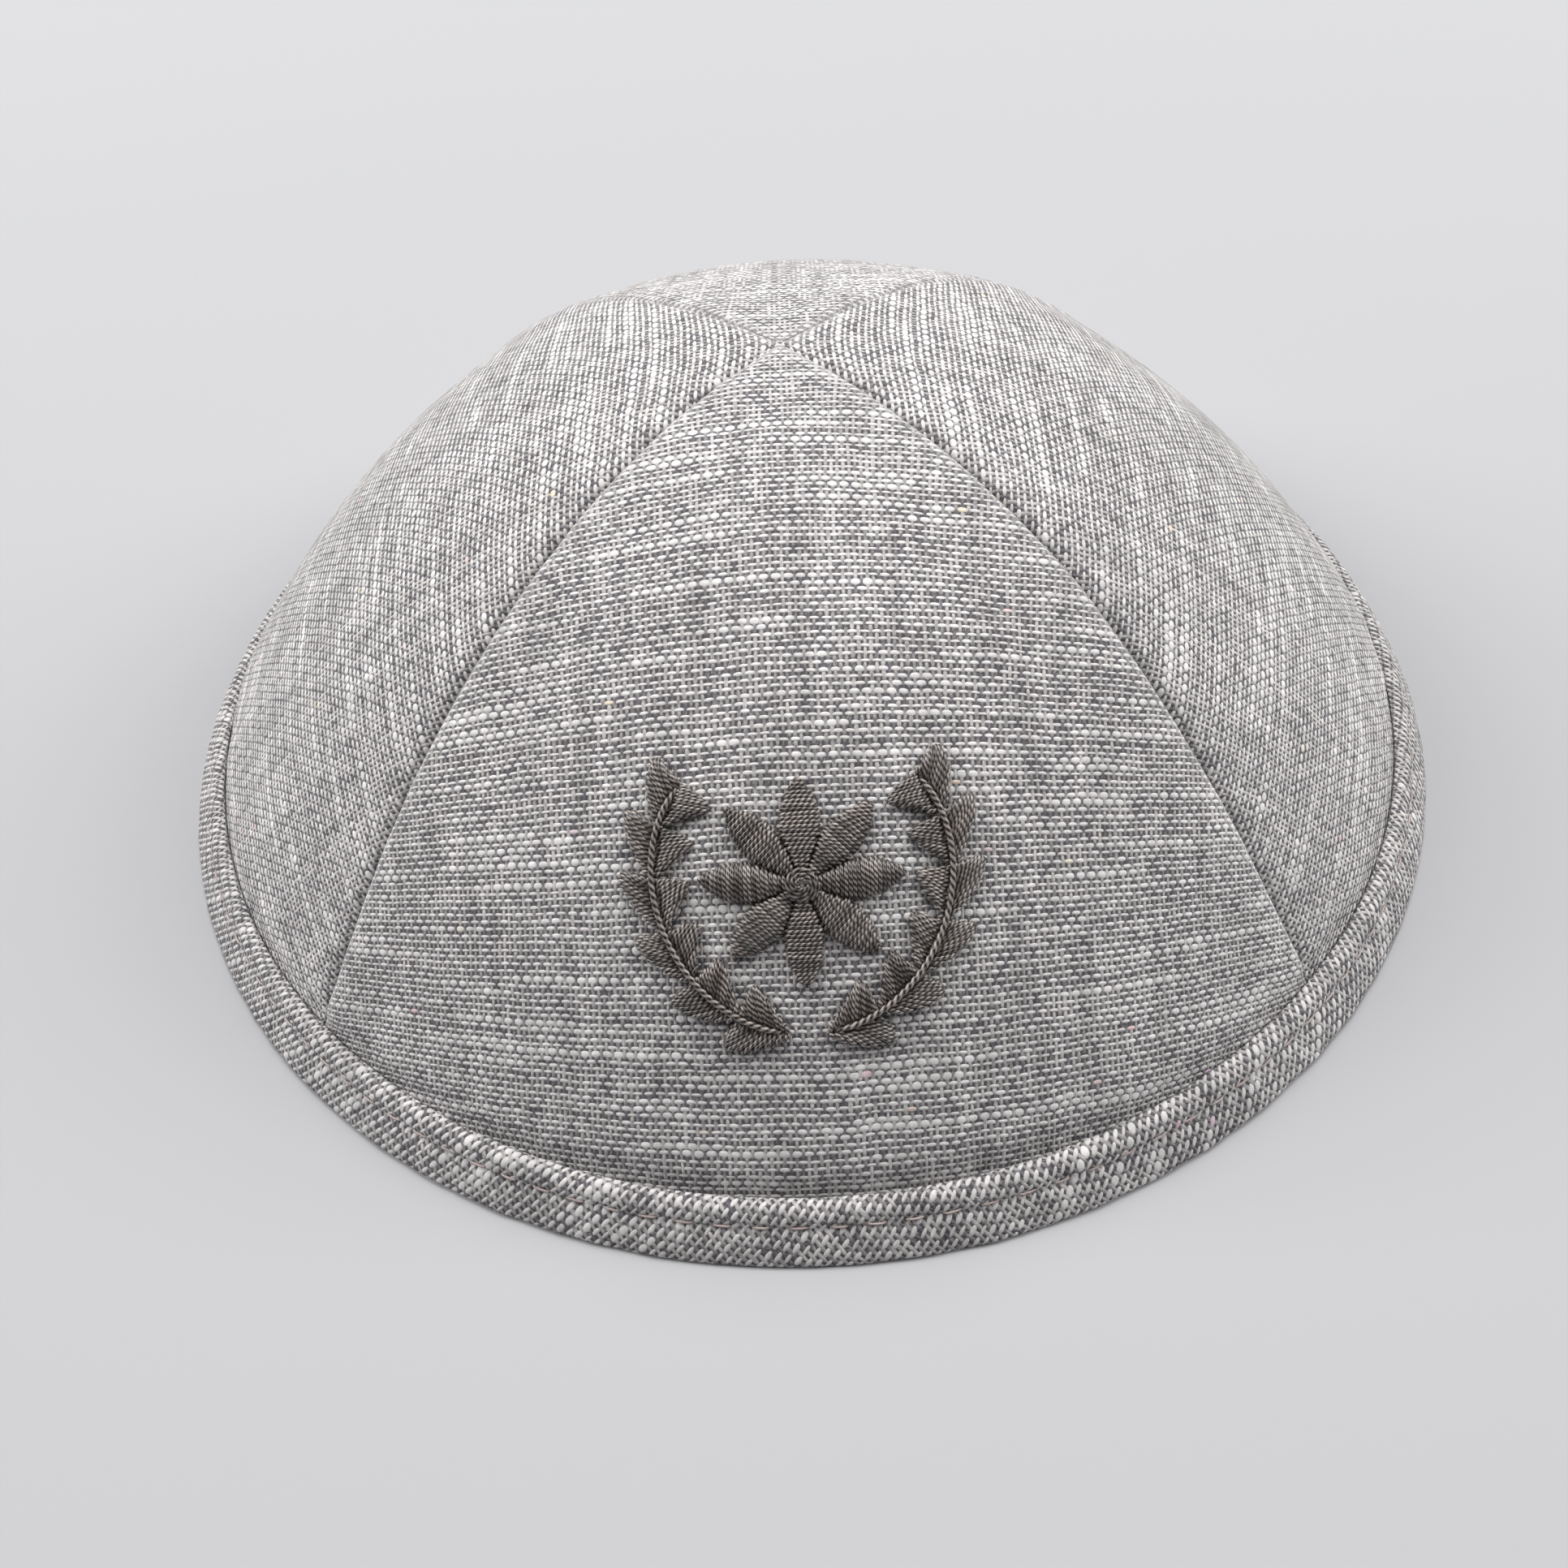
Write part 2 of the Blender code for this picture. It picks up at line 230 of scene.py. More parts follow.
def weaveMaterial(name, turn, tone):
    # spun linen-look cloth in plain weave, unfinished: matt, with a rough relief and a melange of greys
    material, tree, shader = newMaterial(name, weave["finish"])
    uv = addNode(tree, "UVMap", uv_map="cloth")
    turned = addNode(tree, "VectorRotate", uv, None, None, turn, rotation_type="Z_AXIS")
    waver = addNode(tree, "TexNoise", turned, None, 1 / weave["waverLength"], 3.0, output=1)
    waver = addNode(tree, "VectorMath", waver, (0.5, 0.5, 0.5), operation="SUBTRACT")
    reach = (weave["waver"], weave["waver"], 0.0)
    waver = addNode(tree, "VectorMath", waver, reach, operation="MULTIPLY")
    laid = addNode(tree, "VectorMath", turned, waver, operation="ADD")
    across = addNode(tree, "SeparateXYZ", laid)
    ends = addNode(tree, "Math", across, weave["end"], operation="DIVIDE")
    picks = addNode(tree, "Math", across.node.outputs[1], weave["pick"], operation="DIVIDE")

    def fromMiddle(value, size, power):
        # 0 in the middle of a thread, 1 where it ends
        share = addNode(tree, "Math", value, size, operation="DIVIDE")
        share = addNode(tree, "Math", share, operation="ABSOLUTE")
        return addNode(tree, "Math", share, power, operation="POWER")

    def mottle(x, y, stretch, detail):
        # smooth noise over thread numbers, drawn out along one of them
        place = addNode(tree, "CombineXYZ", x, y, 0.0)
        place = addNode(tree, "VectorMath", place, (*stretch, 0.0), operation="MULTIPLY")
        return addNode(tree, "TexNoise", place, None, 1.0, detail, noise_dimensions="2D")

    def dome(value):
        above = addNode(tree, "Math", value, 0.0, operation="MAXIMUM")
        return addNode(tree, "Math", above, operation="SQRT")

    # picks, each a little out of line, with slubs along them
    pickNumber = addNode(tree, "Math", picks, operation="FLOOR")
    pickTone = addNode(tree, "TexWhiteNoise", None, pickNumber, noise_dimensions="1D")
    slub = mottle(ends, pickNumber, (0.028, 7.31), 3.0)
    slub = addNode(tree, "MapRange", slub, 0.55, 0.67, 0.0, 1.0)
    drift = addNode(tree, "Math", pickTone, 0.5, operation="SUBTRACT")
    acrossPick = addNode(tree, "Math", picks, operation="FRACT")
    acrossPick = addNode(tree, "Math", acrossPick, 0.5, operation="SUBTRACT")
    acrossPick = addNode(tree, "Math", drift, 0.14, acrossPick, operation="MULTIPLY_ADD")

    # a pick floats over every second end, and the next pick over the others
    stagger = addNode(tree, "Math", pickNumber, 2.0, operation="MODULO")
    floats = addNode(tree, "Math", ends, stagger, operation="ADD")
    floats = addNode(tree, "Math", floats, 0.5, operation="MULTIPLY")
    alongFloat = addNode(tree, "Math", floats, operation="FRACT")
    alongFloat = addNode(tree, "Math", alongFloat, 0.5, operation="SUBTRACT")
    floatNumber = addNode(tree, "Math", floats, operation="FLOOR")
    spot = addNode(tree, "CombineXYZ", floatNumber, pickNumber, 0.0)
    floatTone = addNode(tree, "TexWhiteNoise", spot, noise_dimensions="2D")
    spotTint = floatTone.node.outputs[1]
    half = addNode(tree, "Math", slub, weave["slubGain"], weave["pickHalf"], operation="MULTIPLY_ADD")
    half = addNode(tree, "Math", floatTone, weave["pickChance"], half, operation="MULTIPLY_ADD")
    alongFloat = fromMiddle(alongFloat, weave["floatHalf"], 2.6)
    acrossPick = fromMiddle(acrossPick, half, 2.2)
    weft = addNode(tree, "Math", alongFloat, acrossPick, operation="ADD")
    weft = addNode(tree, "Math", 1.0, weft, operation="SUBTRACT")
    weftMask = addNode(tree, "MapRange", weft, -0.15, 0.35, 0.0, 1.0)

    # ends rise between the floats and dive under the ones above and below
    acrossEnd = addNode(tree, "Math", ends, 0.5, operation="ADD")
    endNumber = addNode(tree, "Math", acrossEnd, operation="FLOOR")
    acrossEnd = addNode(tree, "Math", acrossEnd, operation="FRACT")
    acrossEnd = addNode(tree, "Math", acrossEnd, 0.5, operation="SUBTRACT")
    endTone = addNode(tree, "TexWhiteNoise", None, endNumber, noise_dimensions="1D")
    stagger = addNode(tree, "Math", endNumber, 2.0, operation="MODULO")
    alongEnd = addNode(tree, "Math", picks, 0.5, operation="SUBTRACT")
    alongEnd = addNode(tree, "Math", alongEnd, stagger, operation="SUBTRACT")
    alongEnd = addNode(tree, "Math", alongEnd, 1.0, operation="PINGPONG")
    width = addNode(tree, "Math", endTone, weave["endChance"], weave["endHalf"], operation="MULTIPLY_ADD")
    acrossEnd = fromMiddle(acrossEnd, width, 2.0)
    alongEnd = fromMiddle(alongEnd, 0.92, 3.0)
    end = addNode(tree, "Math", acrossEnd, alongEnd, operation="ADD")
    end = addNode(tree, "Math", 1.0, end, operation="SUBTRACT")
    endMask = addNode(tree, "MapRange", end, -0.2, 0.4, 0.0, 1.0)
    melange = mottle(endNumber, picks, (3.7, 0.4), 4.0)
    melange = addNode(tree, "MapRange", melange, 0.36, 0.66, 0.0, 1.0)

    # fibres along each thread, and stray ones over both
    weftFibre = mottle(ends, picks, (1.5, 7.0), 2.0)
    weftShade = addNode(tree, "MapRange", weftFibre, 0.3, 0.7, 0.84, 1.04)
    endFibre = mottle(ends, picks, (6.0, 1.6), 2.0)
    endShade = addNode(tree, "MapRange", endFibre, 0.3, 0.7, 0.72, 1.12)
    slant = addNode(tree, "VectorRotate", laid, None, None, weave["fibreSlant"], rotation_type="Z_AXIS")
    counts = (1 / weave["fibreLength"], 1 / weave["fibreWidth"], 1.0)
    slant = addNode(tree, "VectorMath", slant, counts, operation="MULTIPLY")
    stray = addNode(tree, "TexNoise", slant, None, 1.0, 2.0, noise_dimensions="2D")
    stray = addNode(tree, "MapRange", stray, 0.58, 0.72, 0.0, 0.38)

    # painted highlight: the cloth is paler along the folds at the seams, standing for the light their
    # rounded crests catch
    foldHighlight = addNode(tree, "Attribute", output=2, attribute_name="foldHighlight")
    foldHighlight = addNode(tree, "Math", foldHighlight, 0.6, operation="MULTIPLY")

    # paler and darker stretches of thread, and the odd coloured fleck
    endStreak = mottle(ends, picks, (0.3, 0.035), 3.0)
    endStreak = addNode(tree, "MapRange", endStreak, 0.3, 0.7, 0.86 * tone, 1.12 * tone)
    pickStreak = mottle(ends, picks, (0.02, 0.55), 3.0)
    pickStreak = addNode(tree, "MapRange", pickStreak, 0.3, 0.7, 0.9, 1.06)
    fleck = addNode(tree, "Math", floatTone, 0.998, operation="GREATER_THAN")
    fleck = addNode(tree, "Math", fleck, 0.3, operation="MULTIPLY")
    fleck = addNode(tree, "Math", fleck, weftMask, operation="MULTIPLY")

    # the colours, from the gaps up, which are painted dark as shade: each row is a share, what comes over
    # and how it mixes
    slubShare = addNode(tree, "Math", slub, 0.6, operation="MULTIPLY")
    darkEnd, paleEnd = (linearColour(code) for code in weave["endColours"])
    darkPick, palePick = (linearColour(code) for code in weave["pickColours"])
    rows = {
        "end": (darkEnd, [(melange, paleEnd, "MIX"), (1.0, endShade, "MULTIPLY")]),
        "pick": (darkPick, [
            (floatTone, palePick, "MIX"),
            (1.0, weftShade, "MULTIPLY"),
            (slubShare, linearColour(weave["slubColour"]), "MIX"),
        ]),
        "cloth": (linearColour(weave["gapShadeColour"]), [
            (endMask, "end", "MIX"),
            (weftMask, "pick", "MIX"),
            (stray, linearColour(weave["fibreColour"]), "MIX"),
            (foldHighlight, linearColour(weave["foldHighlightColour"]), "MIX"),
            (1.0, endStreak, "MULTIPLY"),
            (1.0, pickStreak, "MULTIPLY"),
            (fleck, spotTint, "MULTIPLY"),
        ]),
    }
    mixed = {}
    for part, (colour, covers) in rows.items():
        for share, cover, blend in covers:
            sockets = {0: share, 6: colour, 7: mixed[cover] if isinstance(cover, str) else cover}
            colour = addNode(tree, "Mix", output=2, named=sockets, data_type="RGBA", blend_type=blend)
        mixed[part] = colour
    tree.links.new(mixed["cloth"], shader.inputs["Base Color"])

    endHeight = addNode(tree, "Math", dome(end), 0.7, operation="MULTIPLY")
    height = addNode(tree, "Math", dome(weft), endHeight, operation="MAXIMUM")
    height = addNode(tree, "Math", slub, 0.25, height, operation="MULTIPLY_ADD")
    fibre = addNode(tree, "Math", weftFibre, endFibre, operation="ADD")
    height = addNode(tree, "Math", fibre, 0.15, height, operation="MULTIPLY_ADD")
    bump = addNode(tree, "Bump", named={"Strength": 0.8, "Distance": weave["relief"], "Height": height})
    tree.links.new(bump, shader.inputs["Normal"])
    return material


thread = {
    "fibre": 0.1923 * mm,  # real filaments are finer: this is as fine as the render can show
    "patch": 1.538 * mm,  # length of the stretches where the painted highlight is stronger and weaker
    "relief": 0.03 * mm,
    "finish": {
        "Roughness": 0.3,
        "Specular IOR Level": 0.75,
        "Sheen Roughness": 0.3,
    },
}


def threadMaterial(name, dyeAndGrooveShade, crestHighlight, sheen):
    # filament polyester thread of two twisted plies: a painted highlight on the crests of the plies, and
    # the thread's deep colour with painted shade between them
    material, tree, shader = newMaterial(name, {**thread["finish"], "Sheen Weight": sheen})
    uv = addNode(tree, "UVMap", uv_map="thread")
    crest = addNode(tree, "SeparateXYZ", uv)
    crest = addNode(tree, "MapRange", crest, 0.15, 0.9, 0.0, 1.0)
    place = addNode(tree, "TexCoord", output=3)
    fibre = addNode(tree, "TexNoise", place, None, 1 / thread["fibre"], 2.0)
    patch = addNode(tree, "TexNoise", place, None, 1 / thread["patch"], 2.0)
    patch = addNode(tree, "Math", patch, 0.9, 0.35, operation="MULTIPLY_ADD")
    share = addNode(tree, "Math", crest, patch, operation="MULTIPLY")
    sockets = {0: share, 6: linearColour(dyeAndGrooveShade), 7: linearColour(crestHighlight)}
    colour = addNode(tree, "Mix", output=2, named=sockets, data_type="RGBA")
    tree.links.new(colour, shader.inputs["Base Color"])
    bump = addNode(tree, "Bump", named={"Strength": 0.35, "Distance": thread["relief"], "Height": fibre})
    tree.links.new(bump, shader.inputs["Normal"])
    return material


panelCloth = weaveMaterial("linenShell", 0.0, 1.0)
bandCloth = weaveMaterial("biasBinding", radians(-45), 0.86)
emblemThread = threadMaterial("embroideryThread", "#211c1a", "#c3b7b0", 0.3)
seamThread = threadMaterial("bindingThread", "#a89894", "#dccdc9", 0.15)
print("materials made")


# The four panels

panels = {
    "wall": 1.2 * mm,
    "domeRadius": 86 * mm,  # of the ball that the flat cloth is laid over
    "columns": 150,
    "rows": 112,
    "crowding": 2.6,  # how much closer the columns stand beside a seam
    "tip": 0.08 * mm,
    "tipFade": 7.0 * mm,  # the seams' relief fades where the panels come to their points
    "seamHalfGap": 0.11 * mm,
    "seamRoll": 0.9 * mm,
    "seamDepth": 0.8 * mm,
    "foldRise": 0.35 * mm,  # the front panel lies over the seams' allowances
    "allowance": 5.0 * mm,
    "sink": 0.95 * mm,  # of the side panels towards their seams
    "sinkWidth": 0.8 * mm,
    "pucker": 0.12 * mm,  # along the seams
    "puckerSize": 3.4 * mm,
    "puckerReach": 3.0 * mm,
    "swell": 0.25 * mm,  # broad, over a whole panel
    "swellSize": 26 * mm,
    "draw": 0.34 * mm,  # pulled in by the binding's stitches
    "drawReach": 11 * mm,
    "slant": 1.25,  # cloth length for each step up the wall above the binding
    "foot": 1.4 * mm,
    "tuckLift": -0.65 * mm,  # where the binding presses the cloth
    "tuckedWall": 1.0 * mm,
    "tuckRise": 2.2 * mm,
}

sideHalf = pi / 2 - crown["seamAzimuth"]
panelPlaces = {
    # middle, half angle, and how far the two edges lie over (1) or sink beneath (0) their neighbours
    "front": (0.0, crown["seamAzimuth"], (1.0, 1.0)),
    "right": (pi / 2, sideHalf, (0.0, 0.85)),
    "back": (pi, crown["seamAzimuth"], (0.7, 0.7)),
    "left": (-pi / 2, sideHalf, (0.85, 0.0)),
}


def closedSlab(columns, rows):
    # two grids joined round their edges: x = column, y = row, z = 1 outside
    bm = bmesh.new()
    bmesh.ops.create_grid(bm, x_segments=columns, y_segments=rows, size=0.5)
    for vert in bm.verts:
        vert.co.x = round((vert.co.x + 0.5) * columns)
        vert.co.y = round((vert.co.y + 0.5) * rows)
    top = bmesh.ops.extrude_face_region(bm, geom=list(bm.faces))["geom"]
    for vert in top:
        if isinstance(vert, bmesh.types.BMVert):
            vert.co.z = 1.0
    return bm


def columnShare(column):
    # place across the panel from -1 to 1, with the columns crowded beside the seams
    even = 1 - 2 * column / panels["columns"]
    crowding = panels["crowding"]
    inwards = sinh(crowding * (1 - abs(even))) / sinh(crowding)
    side = -1 if even > 0 else 1
    return side * (1 - inwards)


def seamRoll(fromSeam, fold):
    # how far a panel's rounded edge has turned down
    roll = panels["seamRoll"] * (0.6 + 0.4 * fold)
    if fromSeam >= roll:
        return 0.0
    return panels["seamDepth"] * (0.6 + 0.4 * fold) * (1 - sqrt(1 - (1 - fromSeam / roll) ** 2))


def seamLift(fromSeam, fold, place):
    rise = fold * panels["foldRise"] * exp(-(fromSeam / panels["allowance"]) ** 4)
    width = panels["sinkWidth"]
    sink = exp(-(fromSeam / width) ** 1.4) + 0.3 * exp(-(fromSeam / (4 * width)) ** 2)
    pucker = wander(place, panels["puckerSize"], 5.0) * exp(-fromSeam / panels["puckerReach"])
    return rise - (1 - fold) * panels["sink"] * sink + panels["pucker"] * pucker


def panelLift(place):
    # broad swelling, and puckers that the binding's stitches draw into the cloth
    fromRim = max(place[2] - binding["height"], 0) * panels["slant"]
    swell = panels["swell"] * wander(place, panels["swellSize"])
    turn = atan2(place[0], -place[1])
    draw = noise.noise(Vector((turn * 13, fromRim / (26 * mm), 3.0)))
    draw += 0.6 * noise.noise(Vector((turn * 31, fromRim / (14 * mm), 9.0)))
    return swell + panels["draw"] * draw * exp(-fromRim / panels["drawReach"])


def clothPlace(turn, drop):
    # where a point lies in the flat cloth, whose picks cross the panel's middle line squarely
    size = panels["domeRadius"]
    polar = drop / size
    out = sin(polar) * sin(turn)
    return size * asin(out), size * atan2(sin(polar) * cos(turn), cos(polar))


def makePanel(name, node, middle, halfAngle, folds):
    columns, rows = panels["columns"], panels["rows"]
    seam = middle + halfAngle
    arc = arcTable(middle)
    footShare = shareAtHeight(middle, panels["foot"], panels["tuckLift"])
    footDrop = arc[round(footShare / arcEnd * arcSteps)]
    rowDrops = [panels["tip"] + (footDrop - panels["tip"]) * i / rows for i in range(rows + 1)]
    rowShares = [shareAtDrop(drop, arc) for drop in rowDrops]
    topOfTuck = binding["height"] + panels["tuckRise"]
    bm = closedSlab(columns, rows)
    across = bm.verts.layers.float.new("across")
    down = bm.verts.layers.float.new("down")
    foldHighlight = bm.verts.layers.float.new("foldHighlight")
    for vert in bm.verts:
        column, row, outside = vert.co
        share = rowShares[int(row)]
        radius = meridian(seam, share)[0]
        edge = halfAngle - min(panels["seamHalfGap"] / radius, 0.3)
        place = columnShare(column)
        azimuth = middle + edge * place
        fromSeam = (1 - abs(place)) * edge * radius
        base = crownPoint(azimuth, share, 0)
        fold = folds[place > 0]
        spread = min(edge * radius / panels["tipFade"], 1)
        free = seamLift(fromSeam, fold, base) * spread + panelLift(base)
        tucked = min(max((topOfTuck - base.z) / panels["tuckRise"], 0), 1)
        tucked = tucked * tucked * (3 - 2 * tucked)
        lift = panels["tuckLift"] * tucked + free * (1 - tucked)
        if outside:
            lift -= seamRoll(fromSeam, fold) * (1 - tucked) * spread
        else:
            lift -= panels["wall"] + (panels["tuckedWall"] - panels["wall"]) * tucked
        turned = seamRoll(fromSeam, fold) * (1 if place > 0 else -1)
        clothAcross, clothDown = clothPlace(azimuth - middle, rowDrops[int(row)])
        vert[across] = clothAcross + turned
        vert[down] = clothDown
        # painted highlight along the folded edges, strongest at the seam
        vert[foldHighlight] = fold * exp(-(fromSeam / panels["seamRoll"]) ** 2)
        vert.co = crownPoint(azimuth, share, lift)
    layUv(bm, "cloth", across, down)
    return finishPiece(name, bm, panelCloth, [node])


def layUv(bm, name, first, second):
    uv = bm.loops.layers.uv.new(name)
    for face in bm.faces:
        for loop in face.loops:
            loop[uv].uv = (loop.vert[first], loop.vert[second])


# The binding, two rolls either side of its row of stitches

binding = {
    "height": 4.7 * mm,
    "stand": 0.9 * mm,
    "leg": 1.25 * mm,
    "innerLeg": 1.0 * mm,
    "innerHeight": 5.3 * mm,
    "fold": 1.1 * mm,
    "gap": 0.3 * mm,
    "segments": 720,
    "faceSteps": 24,
    "stitchHeight": 0.68,  # share of the band's height where the seam presses it
    "stitchStand": 0.62,  # share of the stand left there
    "stitchPitch": 3.65 * mm,
    "rollMiddle": 0.28,  # of the lower roll, as a share of the height
    "lowerRoll": 0.46,
    "upperRoll": 0.36,
}


def bandFace(up):
    # share of the stand that the outer face reaches at a share of the band's height
    seam = binding["stitchHeight"]
    middle, half, rise = binding["rollMiddle"], seam - binding["rollMiddle"], binding["lowerRoll"]
    if up >= seam:
        middle, half, rise = (1 + seam) / 2, (1 - seam) / 2, binding["upperRoll"]
    return binding["stitchStand"] + rise * sqrt(max(1 - ((up - middle) / half) ** 2, 0))


def bindingSection():
    # (height, lift, share of the puckers) round the folded strip, from the fold up the outer leg
    height, stand = binding["height"], binding["stand"]
    channelOut = stand - binding["leg"]
    channelIn = panels["tuckLift"] - panels["tuckedWall"] - binding["gap"]
    inner = channelIn - binding["innerLeg"]
    rounding = binding["innerLeg"] / 4
    section = []
    for i in range(binding["faceSteps"] + 1):
        up = i / binding["faceSteps"]
        turnedIn = 0.25 * max(1 - up / 0.12, 0) ** 2
        section.append((height * up, stand * (bandFace(up) - turnedIn), 1.0))
    section += [
        (height + 0.02 * mm, 0.1 * mm, 0.6),
        (height - 0.1 * mm, -0.3 * mm, 0.3),
        (height - 0.4 * mm, -0.52 * mm, 0.0),
        (height - 0.8 * mm, channelOut, 0.0),
        (binding["fold"], channelOut, 0.0),
        (binding["fold"], channelIn, 0.0),
        (binding["innerHeight"] - rounding, channelIn, 0.0),
        (binding["innerHeight"], channelIn - rounding, 0.0),
        (binding["innerHeight"], inner + rounding, 0.0),
        (binding["innerHeight"] - 2 * rounding, inner, 0.0),
        (2 * rounding, inner, 0.0),
        (0.0, inner + rounding, 0.0),
    ]
    return section


def rimPoint(azimuth, height, lift):
    point = crownPoint(azimuth, shareAtHeight(azimuth, height, lift), lift)
    point.z = height
    return point


rimGirth = 2 * pi * crown["radius"]
stitchCount = round(rimGirth / binding["stitchPitch"])


def bandPucker(azimuth, up):
    # the cloth swells between the stitches and sinks at each one
    beat = cos(stitchCount * azimuth)
    near = exp(-((up - binding["stitchHeight"]) / 0.16) ** 2)
    turn = Vector((cos(azimuth) * 22, sin(azimuth) * 22, up * 1.6))
    return 0.06 * mm * beat * near + 0.1 * mm * noise.noise(turn) + 0.05 * mm * noise.noise(turn * 3)


def makeBinding():
    section = bindingSection()
    columns, rows = binding["segments"], len(section)
    bm = bmesh.new()
    bmesh.ops.create_grid(bm, x_segments=columns, y_segments=rows, size=0.5)
    drops = [0.0]
    for i in range(rows):
        here, there = section[i], section[(i + 1) % rows]
        drops.append(drops[-1] + hypot(here[0] - there[0], here[1] - there[1]))
    places = {}
    uv = bm.loops.layers.uv.new("cloth")
    for face in bm.faces:
        for loop in face.loops:
            x, y = loop.vert.co.x + 0.5, loop.vert.co.y + 0.5
            loop[uv].uv = (x * rimGirth, drops[round(y * rows)])
    for vert in bm.verts:
        column = round((vert.co.x + 0.5) * columns) % columns
        row = round((vert.co.y + 0.5) * rows) % rows
        if (column, row) not in places:
            azimuth = pi + 2 * pi * column / columns
            height, lift, share = section[row]
            pucker = bandPucker(azimuth, height / binding["height"]) * share
            places[column, row] = rimPoint(azimuth, height, lift + pucker)
        vert.co = places[column, row]
    bmesh.ops.remove_doubles(bm, verts=bm.verts, dist=1e-7)
    return finishPiece("folded_binding", bm, bandCloth, ["rim_binding"])


for side, (middle, halfAngle, folds) in panelPlaces.items():
    makePanel("cloth_panel_" + side, "panel_" + side, middle, halfAngle, folds)
print("panels made")
makeBinding()
print("binding made")


# Embroidery: twisted tubes laid along paths

embroidery = {
    "drop": 61.3 * mm,  # from the crossing of the seams down the cloth to the rosette's middle
    "thread": 0.215 * mm,  # radius
    "pitch": 0.39 * mm,
    "twist": 1.25 * mm,  # length of one turn of the two plies
    "sunk": 0.12 * mm,  # how far a stitch's ends go into the cloth
    "crown": 0.95 * mm,
    "rosetteRadius": 9.8 * mm,
    "rosetteNotch": 4.6 * mm,
    "petals": 8,
    "petalStart": 1.3 * mm,
    "petalMargin": 0.3 * mm,  # left at a petal's point
    "fullWidth": 1.6 * mm,  # half a petal's width from which its padding is at its full height
    "coilTurns": 3,  # of thread over the rosette's middle
    "coilInner": 0.25 * mm,
    "coilOuter": 1.55 * mm,
    "coilRise": 0.35 * mm,
    "coilFall": 0.45 * mm,
    "sprigRadius": 14.0 * mm,
    "sprigStart": radians(7),
    "sprigTurn": radians(122),
    "sprigCrown": 0.76 * mm,
    "stemHalf": 0.4 * mm,
    "stemLift": 0.75 * mm,
    "leafReach": 3.0 * mm,
    "leafLean": 2.2 * mm,
    "leafPairs": 6,
    "vein": 0.04,  # share of a leaf's width left for the stem
}

tubeCache = {}
tubeSides = 8


def tubeMesh(segments):
    # a capped unit tube, x and y round it and z the number of the ring
    if segments not in tubeCache:
        bm = bmesh.new()
        bmesh.ops.create_grid(bm, x_segments=tubeSides, y_segments=segments, size=0.5)
        for vert in bm.verts:
            turn = 2 * pi * round((vert.co.x + 0.5) * tubeSides) / tubeSides
            vert.co = (cos(turn), sin(turn), round((vert.co.y + 0.5) * segments))
        bmesh.ops.remove_doubles(bm, verts=bm.verts, dist=1e-4)
        bmesh.ops.holes_fill(bm, edges=[e for e in bm.edges if e.is_boundary], sides=0)
        mesh = bpy.data.meshes.new("tube")
        bm.to_mesh(mesh)
        bm.free()
        tubeCache[segments] = mesh
    return tubeCache[segments]


def layThread(bm, layers, pathAt, segments, radius, twist):
    # pathAt gives a point and the outward direction for a share of the thread
    points, outs = zip(*(pathAt(i / segments) for i in range(segments + 1)))
    length = sum((b - a).length for a, b in zip(points, points[1:]))
    frames = []
    for i in range(segments + 1):
        ahead = (points[min(i + 1, segments)] - points[max(i - 1, 0)]).normalized()
        side = ahead.cross(outs[i]).normalized()
        frames.append((side, side.cross(ahead)))
    start = len(bm.verts)
    bm.from_mesh(tubeMesh(segments))
    bm.verts.ensure_lookup_table()
    phase = random.uniform(0, 2 * pi)
    highlightStrength = random.uniform(0.5, 1.15)
    for vert in bm.verts[start:]:
        ring = round(vert.co.z)
        turn = atan2(vert.co.y, vert.co.x)
        along = ring / segments
        lobe = cos(turn - phase - 2 * pi * along * length / twist)
        thick = radius * (0.84 + 0.2 * lobe * lobe)
        taper = min(1.0, 0.55 + 6 * min(along, 1 - along))
        side, up = frames[ring]
        # painted highlight: paler colour on the crests of the plies, by a random amount for each thread
        vert[layers[0]] = lobe * lobe * highlightStrength
        vert[layers[1]] = along * length
        vert.co = points[ring] + (side * cos(turn) + up * sin(turn)) * thick * taper


def newThreads():
    bm = bmesh.new()
    return bm, (bm.verts.layers.float.new("crest"), bm.verts.layers.float.new("along"))


def emblemPoint(across, up, lift):
    share = shareAtDrop(embroidery["drop"] - up)
    azimuth = across / meridian(0, share)[0]
    point = crownPoint(azimuth, share, 0)
    out = (crownPoint(azimuth, share, mm) - point).normalized()
    return point + out * (panelLift(point) + lift), out


def satin(start, end, crownHeight):
    # one stitch over the padding: from a needle hole to another, arched between them
    def pathAt(share):
        flat = start.lerp(end, share)
        arch = sqrt(max(4 * share * (1 - share), 0))
        sunk = embroidery["sunk"]
        lift = (crownHeight + sunk - embroidery["thread"]) * arch - sunk
        return emblemPoint(flat.x, flat.y, lift)
    return pathAt


def addStitch(bm, layers, start, end, crownHeight):
    length = (end - start).length
    if length < 0.5 * mm:
        return
    jitter = Vector((random.uniform(-1, 1), random.uniform(-1, 1))) * 0.07 * mm
    segments = max(6, ceil(length / (0.13 * mm)))
    path = satin(start + jitter, end - jitter, crownHeight)
    radius = embroidery["thread"] * random.uniform(0.92, 1.06)
    layThread(bm, layers, path, segments, radius, embroidery["twist"])


def petalHalfWidth(along):
    # half the petal's width at a distance along its middle line
    radius, notch = embroidery["rosetteRadius"], embroidery["rosetteNotch"]
    sector = pi / embroidery["petals"]
    width = 0.0
    while True:
        wider = width + 0.02 * mm
        off = atan2(wider, along) / sector
        if off >= 1 or hypot(wider, along) > notch + (radius - notch) * (1 - off) ** 0.75:
            return width
        width = wider


